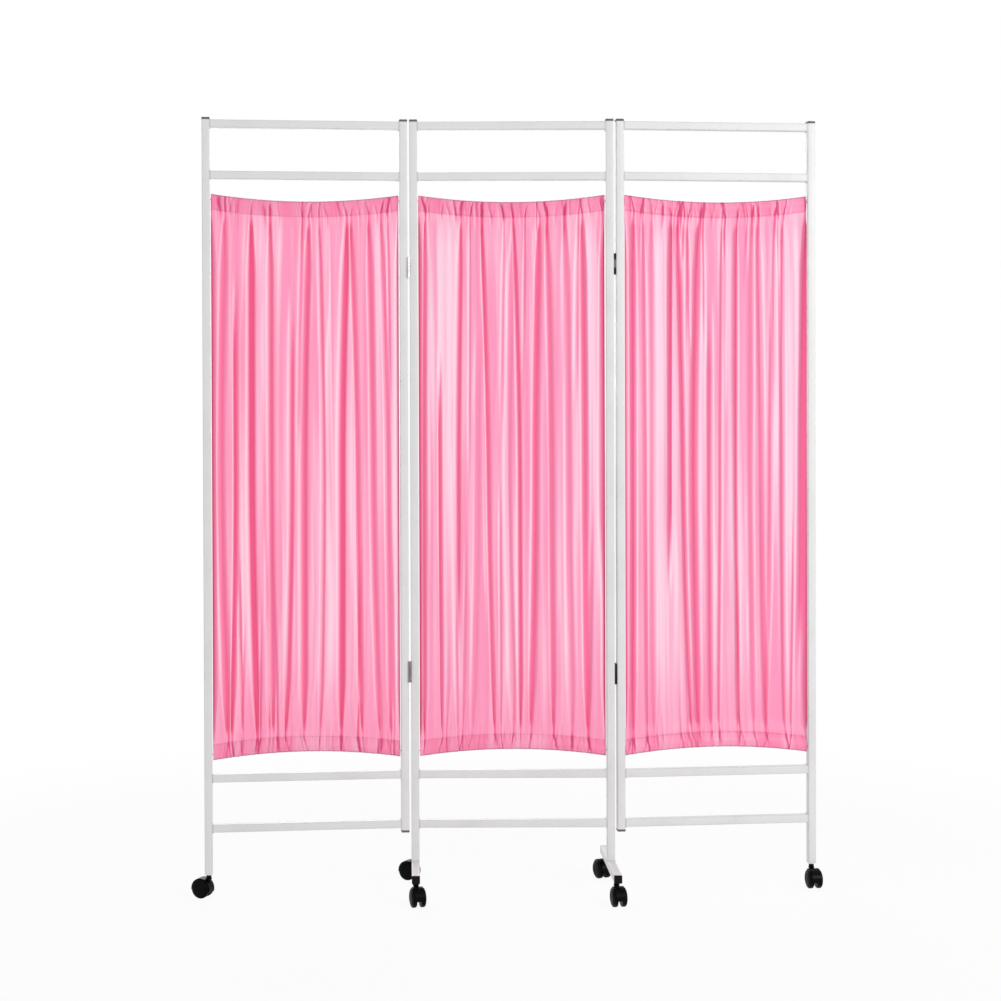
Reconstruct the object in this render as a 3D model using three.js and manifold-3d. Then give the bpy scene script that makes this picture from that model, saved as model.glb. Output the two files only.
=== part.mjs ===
// Three-panel ward privacy screen on wheels. Welded square-tube frames carry gathered curtains on
// stretched wires. The two outer panels fold on hinges, and everything rolls on twin-wheel casters.
// Millimetres, +Z up, the front faces -Y.
import * as THREE from 'three';
import { mergeVertices } from 'three/addons/utils/BufferGeometryUtils.js';
import Module from 'manifold-3d';

// Frames: square steel tube, one ladder of four rails for each panel.
const tubeSide = 19;
const tubeWall = 1;
const panelWidth = 489;
const panelGap = 4.5;
const frameTop = 1851;
const secondRailDrop = 121.4;
const thirdRailTop = 295.5;
const bottomRailTop = 176.3;
const shortPostBottom = 152;
const ventSide = 6;
const endPlateThickness = 3;
const restFold = THREE.MathUtils.degToRad(5.3);
const secondRailTop = frameTop - secondRailDrop;

// T-feet under the centre panel's posts.
const footLength = 280;
const nutRadius = 6.5;
const nutHeight = 6;
const casterFromFootEnd = 29;

// Plastic caps and plugs in the tube ends.
const seatGap = 0.25;
const capOverhang = 0.3;
const capSideHeight = 3.2;
const capShoulderHeight = 5.1;
const capHeight = 5.75;
const capShoulderInset = 1;
const capCrownInset = 4.4;
const plugDepth = 12;
const plugHeadThickness = 2.4;
const plugHeadChamfer = 0.6;

// Casters: twin wheels under a hood, turning on a stem.
const wheelRadius = 22.5;
const wheelWidth = 12.4;
const wheelCrownEdge = 1.1;
const wheelCrownStart = 1.9;
const wheelCrownEnd = 7;
const wheelShoulder = 3.2;
const wheelShoulderFrom = 10.5;
const wheelDishRadius = 12.2;
const wheelRunGap = 0.3;
const wheelSegments = 18;
const casterTrail = 17;
const webHalf = 5.3;
const wheelInHood = 1;
const hoodWall = 1.5;
const hoodToTube = 10;
const hoodHalfWidth = 12;
const hoodSegments = 12;
const hoodTrailingAngle = THREE.MathUtils.degToRad(-8);
const hoodLeadingAngle = THREE.MathUtils.degToRad(198);
const webLowAngles = [THREE.MathUtils.degToRad(225), THREE.MathUtils.degToRad(315)];
const webLowSegments = 4;
const webLowRadius = 10.8;
const axleRadius = 3;
const axleLength = 9.2;
const axleRunGap = 0.22;
const axleSegments = 12;
const neckRadius = 6;
const stemRadius = 4;
const stemHoleGap = 0.25;
const stemInTube = 7;
const flangeRadius = 6.4;
const flangeThickness = 2.2;
const pinRadius = 3.4;
const pinRunGap = 0.24;
const pinLength = 20;
const pinHeadRadius = 4;
const pinHeadHeight = 2;
const stemSegments = 12;
const neckSegments = 16;
const hoodInnerRadius = wheelRadius + wheelInHood;
const hoodOuterRadius = hoodInnerRadius + hoodWall;
const casterHeight = wheelRadius + hoodOuterRadius + hoodToTube;

// The way each caster trails at rest, in degrees from +X.
const trailDegrees = {
  left_front: -76,
  left_rear: 150,
  right_front: -81,
  right_rear: 113,
  left: 156,
  right: -83,
};

// Hinges: plates in the gap between two posts, with a barrel outside the gap.
const hingeHeight = 50;
const leafThickness = 1.8;
const leafDepth = 17;
const barrelRadius = 2.9;
const barrelFromPost = 2.7;
const hingePinRadius = 1.4;
const hingePinGap = 0.13;
const knuckleGap = 0.3;
const barrelSegments = 12;
const leftHingeBelowRail = 227.6;
const leftHingeAboveRail = 237.5;
const rightHingeBelowRail = 219.6;
const rightHingeAboveRail = 229.5;
const leftHingeHeights = [secondRailTop - leftHingeBelowRail, thirdRailTop + leftHingeAboveRail];
const rightHingeHeights = [secondRailTop - rightHingeBelowRail, thirdRailTop + rightHingeAboveRail];

// Curtains: cloth gathered on a wire at the top and another at the bottom.
const curtainSideGap = 2;
const curtainBelowRail = 53.6;
const curtainAboveRail = 32.5;
const curtainSag = 17;
const casingHeight = 36;
const wireFromEdge = 14;
const wireRadius = 1.5;
const wireGap = 0.3;
const ferruleRadius = 3;
const ferruleLength = 4;
const clothHalf = 0.6;
const edgeHalf = 1;
const casingHalf = 3.6;
const casingWobble = 1.1;
const foldDepth = 6.4;
const wireSpans = 12;
const wireSides = 6;
const foldColumns = 40;
const bodyRowShares = [0.05, 0.24, 0.5, 0.76, 0.95];
const foldFullnessShares = [0.45, 1, 1, 1, 0.45];
const stitchFoldShare = 0.15;
const wideFolds = 6.3;
const narrowFolds = 10.4;
const gatherFolds = 13;
const wideFoldShare = 0.62;
const foldLean = 0.22;
const phaseShares = { centre: 0.1, left: 0.45, right: 0.8 };
const curtainTop = secondRailTop - curtainBelowRail;
const curtainBottom = thirdRailTop + curtainAboveRail;

const tubeHalf = tubeSide / 2;
const boreHalf = tubeHalf - tubeWall;
const panelHalf = panelWidth / 2;
const postCentre = panelHalf - tubeHalf;
const postInner = panelHalf - tubeSide;
const railTops = [frameTop, secondRailTop, thirdRailTop, bottomRailTop];
const footTop = casterHeight + tubeSide;
const weldDistance = tubeWall / 10000;

const white = new THREE.Color(0.86, 0.86, 0.86);
const black = new THREE.Color(0.02, 0.02, 0.022);
const paint = new THREE.MeshStandardMaterial({ color: white, roughness: 0.45, metalness: 0 });
const plastic = new THREE.MeshStandardMaterial({ color: black, roughness: 0.5, metalness: 0 });
const tread = new THREE.MeshStandardMaterial({ color: black, roughness: 0.65, metalness: 0 });
const steel = new THREE.MeshStandardMaterial({
  color: new THREE.Color(0.55, 0.55, 0.56), roughness: 0.35, metalness: 1,
});
const hingeMetal = new THREE.MeshStandardMaterial({
  color: new THREE.Color(0.22, 0.22, 0.22), roughness: 0.45, metalness: 1,
});
const cloth = new THREE.MeshStandardMaterial({
  color: new THREE.Color(1, 0.5, 0.66), roughness: 0.7, metalness: 0,
});

const wasm = await Module();
wasm.setup();

// Joins equal corners, drops faces that closed up and turns the surface outwards.
function weld(geometry) {
  const bare = geometry.clone();
  bare.deleteAttribute('normal');
  bare.deleteAttribute('uv');
  const joined = mergeVertices(bare, weldDistance);
  const corners = joined.index.array;
  const point = joined.attributes.position;
  const kept = [];
  let volume = 0;
  for (let i = 0; i < corners.length; i += 3) {
    const [a, b, c] = [corners[i], corners[i + 1], corners[i + 2]];
    if (a === b || b === c || c === a) continue;
    kept.push(a, b, c);
    const first = new THREE.Vector3().fromBufferAttribute(point, a);
    const second = new THREE.Vector3().fromBufferAttribute(point, b);
    const third = new THREE.Vector3().fromBufferAttribute(point, c);
    volume += first.dot(second.cross(third));
  }
  joined.setIndex(volume < 0 ? kept.reverse() : kept);
  joined.computeVertexNormals();
  return joined;
}

function toSolid(geometry) {
  const welded = weld(geometry);
  return new wasm.Manifold(new wasm.Mesh({
    numProp: 3,
    vertProperties: new Float32Array(welded.attributes.position.array),
    triVerts: new Uint32Array(welded.index.array),
  }));
}

function toGeometry(solid) {
  const mesh = solid.getMesh();
  const geometry = new THREE.BufferGeometry();
  const points = new THREE.BufferAttribute(new Float32Array(mesh.vertProperties), 3);
  geometry.setAttribute('position', points);
  geometry.setIndex(new THREE.BufferAttribute(new Uint32Array(mesh.triVerts), 1));
  geometry.computeVertexNormals();
  return geometry;
}

// A box from the three ranges that it fills.
function block([x0, x1], [y0, y1], [z0, z1]) {
  const geometry = new THREE.BoxGeometry(x1 - x0, y1 - y0, z1 - z0);
  return geometry.translate((x0 + x1) / 2, (y0 + y1) / 2, (z0 + z1) / 2);
}

// A solid of revolution about Z from [radius, height] pairs.
function turned(profile, segments) {
  const outline = profile.map(([radius, height]) => new THREE.Vector2(radius, height));
  return new THREE.LatheGeometry(outline, segments).rotateX(Math.PI / 2);
}

function rod(radius, low, high, segments) {
  return turned([[0, low], [radius, low], [radius, high], [0, high]], segments);
}

// A closed body from rings of points, each ring joined to the next.
function lofted(rings) {
  const count = rings[0].length;
  const faces = [];
  for (let k = 0; k + 1 < rings.length; k += 1) {
    for (let i = 0; i < count; i += 1) {
      const next = (i + 1) % count;
      const [a, b] = [k * count + i, k * count + next];
      faces.push(a, b, b + count, a, b + count, a + count);
    }
  }
  for (const start of [0, (rings.length - 1) * count]) {
    for (let i = 1; i + 1 < count; i += 1) {
      faces.push(start, ...(start ? [start + i, start + i + 1] : [start + i + 1, start + i]));
    }
  }
  const geometry = new THREE.BufferGeometry();
  geometry.setAttribute('position', new THREE.Float32BufferAttribute(rings.flat(2), 3));
  geometry.setIndex(faces);
  return weld(geometry);
}

// Square rings about Z, from [half width, height] pairs.
function squareLoft(levels) {
  return lofted(levels.map(([half, height]) => [
    [-half, -half, height],
    [half, -half, height],
    [half, half, height],
    [-half, half, height],
  ]));
}

function named(name, geometry, material) {
  const mesh = new THREE.Mesh(geometry, material);
  mesh.name = name;
  return mesh;
}

// A domed cap for a tube end that faces +Z, with its plug inside the tube.
function tubeCap() {
  const headHalf = tubeHalf + capOverhang;
  const plugHalf = boreHalf - seatGap;
  return squareLoft([
    [plugHalf, -plugDepth],
    [plugHalf, seatGap],
    [headHalf, seatGap],
    [headHalf, capSideHeight],
    [headHalf - capShoulderInset, capShoulderHeight],
    [headHalf - capCrownInset, capHeight],
  ]);
}

// A flat plug for a tube end that faces +Z.
function tubePlug() {
  const plugHalf = boreHalf - seatGap;
  return squareLoft([
    [plugHalf, -plugDepth],
    [plugHalf, seatGap],
    [tubeHalf, seatGap],
    [tubeHalf, plugHeadThickness - plugHeadChamfer],
    [tubeHalf - plugHeadChamfer, plugHeadThickness],
  ]);
}

function sagAt(x) {
  return curtainSag * (1 - (x / postInner) ** 2);
}

// Height of the upper (side 1) or lower (side -1) curtain edge at x.
function curtainEdge(x, side) {
  return (side > 0 ? curtainTop : curtainBottom) - side * sagAt(x);
}

function wireHeight(x, side) {
  return curtainEdge(x, side) - side * wireFromEdge;
}

// Rings of a rod that follows the wire, at each station [x, radius].
function wireRings(stations, side) {
  return stations.map(([x, radius]) => {
    const ring = [];
    for (let i = 0; i < wireSides; i += 1) {
      const turn = (2 * Math.PI * i) / wireSides;
      ring.push([x, radius * Math.cos(turn), wireHeight(x, side) + radius * Math.sin(turn)]);
    }
    return ring;
  });
}

function wireStations(radius) {
  const stations = [];
  for (let i = 0; i <= wireSpans; i += 1) {
    stations.push([postInner * ((2 * i) / wireSpans - 1), radius]);
  }
  return stations;
}

// A coated wire that passes through both posts and ends in a ferrule inside each tube.
function curtainWire(side) {
  const inside = postInner + tubeWall + wireGap;
  const end = inside + ferruleLength;
  return lofted(wireRings([
    [-end, ferruleRadius],
    [-inside, ferruleRadius],
    [-inside, wireRadius],
    ...wireStations(wireRadius),
    [inside, wireRadius],
    [inside, ferruleRadius],
    [end, ferruleRadius],
  ], side));
}

function wave(turns) {
  return Math.sin(2 * Math.PI * turns);
}

// Gathered cloth with its main folds and a casing along both edges.
function curtain(phase) {
  const halfWidth = postInner - curtainSideGap;
  const gathers = (share) => casingWobble * wave(gatherFolds * share + phase);
  const folds = (share, height) => foldDepth * (
    wideFoldShare * wave(wideFolds * share + phase + foldLean * height)
    + (1 - wideFoldShare) * wave(narrowFolds * share - phase - foldLean * height)
  );
  const casingRow = (side, fromEdge, half) => (x, share) => [
    curtainEdge(x, side) - side * fromEdge, gathers(share), half,
  ];
  const stitchRow = (side) => (x, share) => [
    curtainEdge(x, side) - side * casingHeight,
    gathers(share) + stitchFoldShare * folds(share, side),
    clothHalf,
  ];
  const bodyRow = (rowShare, fullness) => (x, share) => {
    const high = curtainEdge(x, 1) - casingHeight;
    const low = curtainEdge(x, -1) + casingHeight;
    return [high + rowShare * (low - high), fullness * folds(share, rowShare), clothHalf];
  };
  const rows = [
    casingRow(1, 0, edgeHalf),
    casingRow(1, wireFromEdge, casingHalf),
    stitchRow(1),
    ...bodyRowShares.map((rowShare, i) => bodyRow(rowShare, foldFullnessShares[i])),
    stitchRow(-1),
    casingRow(-1, wireFromEdge, casingHalf),
    casingRow(-1, 0, edgeHalf),
  ];
  const rings = [];
  for (let i = 0; i <= foldColumns; i += 1) {
    const share = i / foldColumns;
    const x = halfWidth * (2 * share - 1);
    const points = rows.map((row) => row(x, share));
    const front = points.map(([z, y, half]) => [x, y - half, z]);
    const back = points.map(([z, y, half]) => [x, y + half, z]);
    rings.push([...front, ...back.reverse()]);
  }
  return clothAlongRows(rings, rows.length);
}

// Rings of the cloth, with flat ends made of strips so that no end face folds over itself. Front and
// back are split along the same diagonals, which keeps the two sides parallel.
function clothAlongRows(rings, rowCount) {
  const count = 2 * rowCount;
  const faces = [];
  for (let k = 0; k + 1 < rings.length; k += 1) {
    for (let i = 0; i < count; i += 1) {
      const next = (i + 1) % count;
      const [a, b] = [k * count + i, k * count + next];
      const isFront = i < rowCount;
      faces.push(...(isFront
        ? [a, b, b + count, a, b + count, a + count]
        : [a, b, a + count, b, b + count, a + count]));
    }
  }
  for (const start of [0, (rings.length - 1) * count]) {
    for (let row = 0; row + 1 < rowCount; row += 1) {
      const [a, b] = [start + row, start + row + 1];
      const [c, d] = [start + count - 2 - row, start + count - 1 - row];
      faces.push(...(start ? [a, b, c, a, c, d] : [a, c, b, a, d, c]));
    }
  }
  const geometry = new THREE.BufferGeometry();
  geometry.setAttribute('position', new THREE.Float32BufferAttribute(rings.flat(2), 3));
  geometry.setIndex(faces);
  let body = toSolid(geometry);
  for (const side of [1, -1]) {
    const tunnel = lofted(wireRings(wireStations(wireRadius + wireGap), side));
    body = body.subtract(toSolid(tunnel));
  }
  return toGeometry(body);
}

// Two posts and four rails welded into a ladder, hollow inside. bottoms holds the foot of the
// left and right post, and plated says which post has an end plate for a caster stem.
function ladderFrame(bottoms, plated) {
  const depth = [-tubeHalf, tubeHalf];
  const boreDepth = [-boreHalf, boreHalf];
  const adds = [];
  const cuts = [];
  const holeRadius = stemRadius + stemHoleGap;
  bottoms.forEach((bottom, i) => {
    const centre = (i ? 1 : -1) * postCentre;
    adds.push(block([centre - tubeHalf, centre + tubeHalf], depth, [bottom, frameTop]));
    const boreBottom = plated === i ? bottom + endPlateThickness : bottom - tubeWall;
    const bore = [centre - boreHalf, centre + boreHalf];
    cuts.push(block(bore, boreDepth, [boreBottom, frameTop + tubeWall]));
    if (plated === i) {
      const hole = rod(holeRadius, bottom - tubeWall, boreBottom + tubeWall, stemSegments);
      cuts.push(hole.translate(centre, 0, 0));
    }
  });
  for (const top of railTops) {
    const bottom = top - tubeSide;
    adds.push(block([-postCentre, postCentre], depth, [bottom, top]));
    cuts.push(block([-postInner, postInner], boreDepth, [bottom + tubeWall, top - tubeWall]));
    const middle = (top + bottom) / 2;
    const vent = [middle - ventSide / 2, middle + ventSide / 2];
    for (const side of [-1, 1]) {
      const wall = [postInner - tubeWall, postInner + 2 * tubeWall].map((x) => side * x);
      const span = side > 0 ? wall : wall.reverse();
      cuts.push(block(span, [-ventSide / 2, ventSide / 2], vent));
    }
  }
  for (const side of [1, -1]) {
    for (const end of [-1, 1]) {
      const hole = rod(wireRadius + 2 * wireGap, -2 * tubeWall, 2 * tubeWall, stemSegments);
      hole.rotateY(Math.PI / 2);
      const wallX = postInner + tubeWall / 2;
      cuts.push(hole.translate(end * wallX, 0, wireHeight(wallX, side)));
    }
  }
  const whole = wasm.Manifold.union(adds.map(toSolid));
  return toGeometry(whole.subtract(wasm.Manifold.union(cuts.map(toSolid))));
}

// The square tube under a centre post, with a welded nut inside above each caster.
function tFoot() {
  const half = footLength / 2;
  const innerBottom = casterHeight + tubeWall;
  const tube = toSolid(block([-tubeHalf, tubeHalf], [-half, half], [casterHeight, footTop]));
  const bore = toSolid(block(
    [-boreHalf, boreHalf],
    [-half - tubeWall, half + tubeWall],
    [innerBottom, footTop - tubeWall],
  ));
  let foot = tube.subtract(bore);
  for (const side of [-1, 1]) {
    const y = side * (half - casterFromFootEnd);
    const nut = rod(nutRadius, casterHeight + tubeWall / 2, innerBottom + nutHeight, neckSegments);
    const holeRadius = stemRadius + stemHoleGap;
    const holeTop = innerBottom + nutHeight + tubeWall;
    const hole = rod(holeRadius, casterHeight - tubeWall, holeTop, stemSegments);
    foot = foot.add(toSolid(nut.translate(0, y, 0)));
    foot = foot.subtract(toSolid(hole.translate(0, y, 0)));
  }
  return toGeometry(foot);
}

// Leaf and knuckles of a hinge about Z. The owner of the pin has the upper and lower knuckle,
// and the other leaf the middle one. The plate lies on the +X side of the pin, running to +Y.
function hingeLeaf(hasPin) {
  const third = hingeHeight / 3;
  const inner = (panelGap - 2 * leafThickness) / 4;
  const plateX = [inner, inner + leafThickness];
  const plateY = [barrelFromPost + tubeWall, barrelFromPost + leafDepth];
  const tongueY = [0, plateY[0] + tubeWall];
  const half = hingeHeight / 2;
  const knuckles = hasPin
    ? [[-half, -third / 2 - knuckleGap / 2], [third / 2 + knuckleGap / 2, half]]
    : [[-third / 2 + knuckleGap / 2, third / 2 - knuckleGap / 2]];
  let leaf = toSolid(block(plateX, plateY, [-half, half]));
  for (const [low, high] of knuckles) {
    leaf = leaf.add(toSolid(block(plateX, tongueY, [low, high])));
    leaf = leaf.add(toSolid(rod(barrelRadius, low, high, barrelSegments)));
  }
  if (hasPin) {
    leaf = leaf.add(toSolid(rod(hingePinRadius, -half, half, barrelSegments)));
  } else {
    leaf = leaf.subtract(toSolid(rod(hingePinRadius + hingePinGap, -half, half, barrelSegments)));
  }
  return toGeometry(leaf);
}

// The steel stem, from its thread in the tube down to the head that holds the housing.
function casterStem() {
  const flangeTop = casterHeight - seatGap;
  const flangeBottom = flangeTop - flangeThickness;
  const headTop = flangeBottom - pinLength + pinHeadHeight;
  return turned([
    [0, flangeBottom - pinLength],
    [pinHeadRadius, flangeBottom - pinLength],
    [pinHeadRadius, headTop],
    [pinRadius, headTop],
    [pinRadius, flangeBottom],
    [flangeRadius, flangeBottom],
    [flangeRadius, flangeTop],
    [stemRadius, flangeTop],
    [stemRadius, casterHeight + stemInTube],
    [0, casterHeight + stemInTube],
  ], stemSegments);
}

function arcPoints(radius, from, to, count) {
  const points = [];
  for (let i = 0; i <= count; i += 1) {
    const angle = from + ((to - from) * i) / count;
    points.push(new THREE.Vector2(radius * Math.cos(angle), radius * Math.sin(angle)));
  }
  return points;
}

// An outline in the X-Z plane given depth along Y on both sides of zero.
function slab(points, half) {
  const geometry = new THREE.ExtrudeGeometry(new THREE.Shape(points), {
    depth: 2 * half, bevelEnabled: false,
  });
  return geometry.rotateX(Math.PI / 2).translate(0, half, 0);
}

// Web, hood, neck and axle stubs in one moulding, about the stem axis, trailing towards +X.
function casterHousing() {
  const outer = arcPoints(hoodOuterRadius, hoodTrailingAngle, hoodLeadingAngle, hoodSegments);
  const inner = arcPoints(hoodInnerRadius, hoodLeadingAngle, hoodTrailingAngle, hoodSegments);
  const lowArc = arcPoints(webLowRadius, ...webLowAngles, webLowSegments);
  const stubEnd = webHalf + axleLength;
  const neckTop = casterHeight - 2 * seatGap - flangeThickness;
  const pinTop = casterHeight - seatGap - flangeThickness;
  const pinHole = pinRadius + pinRunGap;
  const headHole = pinHeadRadius + pinRunGap;
  const headBottom = pinTop - pinLength - seatGap;
  const headTop = headBottom + pinHeadHeight + 2 * seatGap;
  const neckBottom = wheelRadius + hoodInnerRadius / 2;
  const axleAt = (geometry) => toSolid(geometry.translate(casterTrail, 0, wheelRadius));
  const stubs = rod(axleRadius, -stubEnd, stubEnd, axleSegments).rotateX(Math.PI / 2);
  const neck = rod(neckRadius, neckBottom, neckTop, neckSegments);
  const column = rod(webHalf, headBottom - tubeWall, neckTop, neckSegments);
  const bore = turned([
    [0, headBottom],
    [headHole, headBottom],
    [headHole, headTop],
    [pinHole, headTop],
    [pinHole, casterHeight],
    [0, casterHeight],
  ], stemSegments);
  const wheelSpace = rod(hoodInnerRadius, webHalf, 2 * wheelWidth, 2 * hoodSegments);
  const clear = [Math.PI / 2, -Math.PI / 2].map((turn) => axleAt(wheelSpace.clone().rotateX(turn)));
  return toGeometry(
    toSolid(neck)
      .subtract(clear[0])
      .subtract(clear[1])
      .add(toSolid(column))
      .add(axleAt(slab([...outer, ...inner], hoodHalfWidth)))
      .add(axleAt(slab([...outer, ...lowArc], webHalf)))
      .add(axleAt(stubs))
      .subtract(toSolid(bore)),
  );
}

// One wheel about Z, its inner face at zero and a blind bore for the axle stub.
function casterWheel() {
  const boreRadius = axleRadius + axleRunGap;
  const boreDepth = axleLength;
  return turned([
    [0, boreDepth],
    [boreRadius, boreDepth],
    [boreRadius, 0],
    [wheelRadius - wheelCrownEdge, 0],
    [wheelRadius, wheelCrownStart],
    [wheelRadius, wheelCrownEnd],
    [wheelRadius - wheelShoulder, wheelShoulderFrom],
    [wheelDishRadius, wheelWidth],
    [0, wheelWidth],
  ], wheelSegments);
}

const capGeometry = tubeCap();
const plugGeometry = tubePlug();
const footGeometry = tFoot();
const pinLeafGeometry = hingeLeaf(true);
const plainLeafGeometry = hingeLeaf(false);
const stemGeometry = weld(casterStem());
const housingGeometry = casterHousing();
const wheelGeometry = weld(casterWheel());

// A caster under a tube end at [x, y], trailing in the given direction.
function caster(name, x, y, direction) {
  const group = new THREE.Group();
  group.add(named(`${name}_stem`, stemGeometry, steel));
  group.add(named(`${name}_housing`, housingGeometry, plastic));
  for (const [side, turn] of [['a', -Math.PI / 2], ['b', Math.PI / 2]]) {
    const wheel = named(`${name}_wheel_${side}`, wheelGeometry, tread);
    const sign = side === 'a' ? 1 : -1;
    wheel.rotation.x = turn;
    wheel.position.set(casterTrail, sign * (webHalf + wheelRunGap), wheelRadius);
    group.add(wheel);
  }
  group.position.set(x, y, 0);
  group.rotation.z = direction;
  return group;
}

// Frame, caps, curtain and wires of a panel about its own middle.
function panel(name, bottoms, plated, phase) {
  const group = new THREE.Group();
  group.add(named(`${name}_frame`, ladderFrame(bottoms, plated), paint));
  group.add(named(`${name}_curtain`, curtain(phase), cloth));
  group.add(named(`${name}_wire_top`, curtainWire(1), steel));
  group.add(named(`${name}_wire_bottom`, curtainWire(-1), steel));
  [['left', -postCentre], ['right', postCentre]].forEach(([side, x], i) => {
    const cap = named(`${name}_cap_${side}`, capGeometry, plastic);
    cap.position.set(x, 0, frameTop);
    group.add(cap);
    if (bottoms[i] === shortPostBottom) {
      const lower = named(`${name}_cap_low`, capGeometry, plastic);
      lower.rotation.x = Math.PI;
      lower.position.set(x, 0, shortPostBottom);
      group.add(lower);
    }
  });
  return group;
}

// The centre panel stands on two T-feet with a caster near each end.
function centrePanel() {
  const group = panel('centre', [footTop, footTop], null, phaseShares.centre);
  for (const [side, x] of [['left', -postCentre], ['right', postCentre]]) {
    const foot = named(`centre_foot_${side}`, footGeometry, paint);
    foot.position.x = x;
    group.add(foot);
    for (const [end, sign] of [['front', -1], ['rear', 1]]) {
      const plug = named(`foot_plug_${side}_${end}`, plugGeometry, plastic);
      plug.rotation.x = (-sign * Math.PI) / 2;
      plug.position.set(x, (sign * footLength) / 2, casterHeight + tubeHalf);
      group.add(plug);
      const y = sign * (footLength / 2 - casterFromFootEnd);
      const direction = THREE.MathUtils.degToRad(trailDegrees[`${side}_${end}`]);
      group.add(caster(`caster_${side}_${end}`, x, y, direction));
    }
  }
  return group;
}

// Distance of the hinge pins from the panels' middle plane.
const hingeOffset = tubeHalf + barrelFromPost;
const hingeX = panelHalf + panelGap / 2;

// An outer panel about its hinge pins. It runs to -X with its middle plane at +Y.
function wing(name, phase, hingeHeights, casterDirection) {
  const group = new THREE.Group();
  const ladder = panel(name, [casterHeight, shortPostBottom], 0, phase);
  ladder.position.set(-hingeX, hingeOffset, 0);
  group.add(ladder);
  hingeHeights.forEach((height, i) => {
    const leaf = named(`hinge_${name}_${i ? 'lower' : 'upper'}_wing_leaf`, plainLeafGeometry, hingeMetal);
    leaf.rotation.x = Math.PI;
    leaf.rotation.z = Math.PI;
    leaf.position.z = height;
    group.add(leaf);
  });
  const outerX = -hingeX - postCentre;
  group.add(caster(`caster_${name}`, outerX, hingeOffset, casterDirection));
  return group;
}

function fixedLeaves(name, hingeHeights) {
  const group = new THREE.Group();
  hingeHeights.forEach((height, i) => {
    const leaf = named(`hinge_${name}_${i ? 'lower' : 'upper'}_pin_leaf`, pinLeafGeometry, hingeMetal);
    leaf.position.z = height;
    group.add(leaf);
  });
  return group;
}

const screen = new THREE.Group();
screen.name = 'ward_privacy_screen';
screen.add(centrePanel());

const sides = [
  { name: 'left', turn: 0, heights: leftHingeHeights },
  { name: 'right', turn: Math.PI, heights: rightHingeHeights },
];
for (const { name, turn, heights } of sides) {
  const sign = turn ? 1 : -1;
  const fold = turn + restFold;
  const place = new THREE.Vector3(sign * hingeX, sign * hingeOffset, 0);
  const direction = THREE.MathUtils.degToRad(trailDegrees[name]) - fold;
  const outer = wing(name, phaseShares[name], heights, direction);
  outer.position.copy(place);
  outer.rotation.z = fold;
  screen.add(outer);
  const leaves = fixedLeaves(name, heights);
  leaves.position.copy(place);
  leaves.rotation.z = turn;
  screen.add(leaves);
}

// The origin is the middle of the whole footprint, on the floor.
screen.updateMatrixWorld(true);
const middle = new THREE.Box3().setFromObject(screen).getCenter(new THREE.Vector3());
screen.position.set(-middle.x, -middle.y, 0);
screen.updateMatrixWorld(true);

export default screen;
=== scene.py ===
import math
import random

import bmesh
import bpy
from mathutils import Matrix, Vector, noise


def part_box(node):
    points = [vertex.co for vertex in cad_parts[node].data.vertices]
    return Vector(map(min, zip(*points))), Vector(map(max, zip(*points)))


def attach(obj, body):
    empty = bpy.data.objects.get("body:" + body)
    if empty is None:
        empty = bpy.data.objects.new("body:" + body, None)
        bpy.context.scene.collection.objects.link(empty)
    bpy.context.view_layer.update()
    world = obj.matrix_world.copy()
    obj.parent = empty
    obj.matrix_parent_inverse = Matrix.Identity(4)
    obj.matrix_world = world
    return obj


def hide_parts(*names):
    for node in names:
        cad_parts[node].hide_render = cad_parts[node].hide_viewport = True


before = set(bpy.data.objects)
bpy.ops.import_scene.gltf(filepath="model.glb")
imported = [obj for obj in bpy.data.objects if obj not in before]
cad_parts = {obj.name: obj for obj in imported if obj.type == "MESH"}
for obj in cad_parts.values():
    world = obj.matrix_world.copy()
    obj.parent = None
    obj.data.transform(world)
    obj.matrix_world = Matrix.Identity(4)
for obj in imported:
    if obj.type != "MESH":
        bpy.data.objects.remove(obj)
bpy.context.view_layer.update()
print("frame loaded:", len(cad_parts), "nodes")


def moveBy(x, y, z):
    return Matrix.Translation((x, y, z))


def turnBy(degrees, axis):
    return Matrix.Rotation(math.radians(degrees), 4, axis)


view = {
    "x": -0.2412, "y": -4.0893, "z": 1.1231,
    "yaw": -0.1252, "pitch": 0.4913, "roll": -0.2015,     # degrees
    "lens": 61.22, "sensor": 36, "shiftX": 0.097, "shiftY": -0.06,
}

cameraData = bpy.data.cameras.new("camera")
cameraData.lens = view["lens"]
cameraData.sensor_width = view["sensor"]
cameraData.shift_x = view["shiftX"]
cameraData.shift_y = view["shiftY"]
camera = bpy.data.objects.new("camera", cameraData)
camera.matrix_world = (
    moveBy(view["x"], view["y"], view["z"])
    @ turnBy(-view["yaw"], "Z") @ turnBy(90 - view["pitch"], "X") @ turnBy(view["roll"], "Z"))
bpy.context.scene.collection.objects.link(camera)
bpy.context.scene.camera = camera
print("camera made")


class Signal:
    # a node's output, so that shader maths reads as Python
    def __init__(self, nodes, socket):
        self.nodes = nodes
        self.socket = socket

    def __add__(self, other):
        return self.nodes.maths("ADD", self, other)

    def __radd__(self, other):
        return self.nodes.maths("ADD", other, self)

    def __sub__(self, other):
        return self.nodes.maths("SUBTRACT", self, other)

    def __rsub__(self, other):
        return self.nodes.maths("SUBTRACT", other, self)

    def __mul__(self, other):
        return self.nodes.maths("MULTIPLY", self, other)

    def __rmul__(self, other):
        return self.nodes.maths("MULTIPLY", other, self)

    def __abs__(self):
        return self.nodes.maths("ABSOLUTE", self, 0.0)


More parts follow.
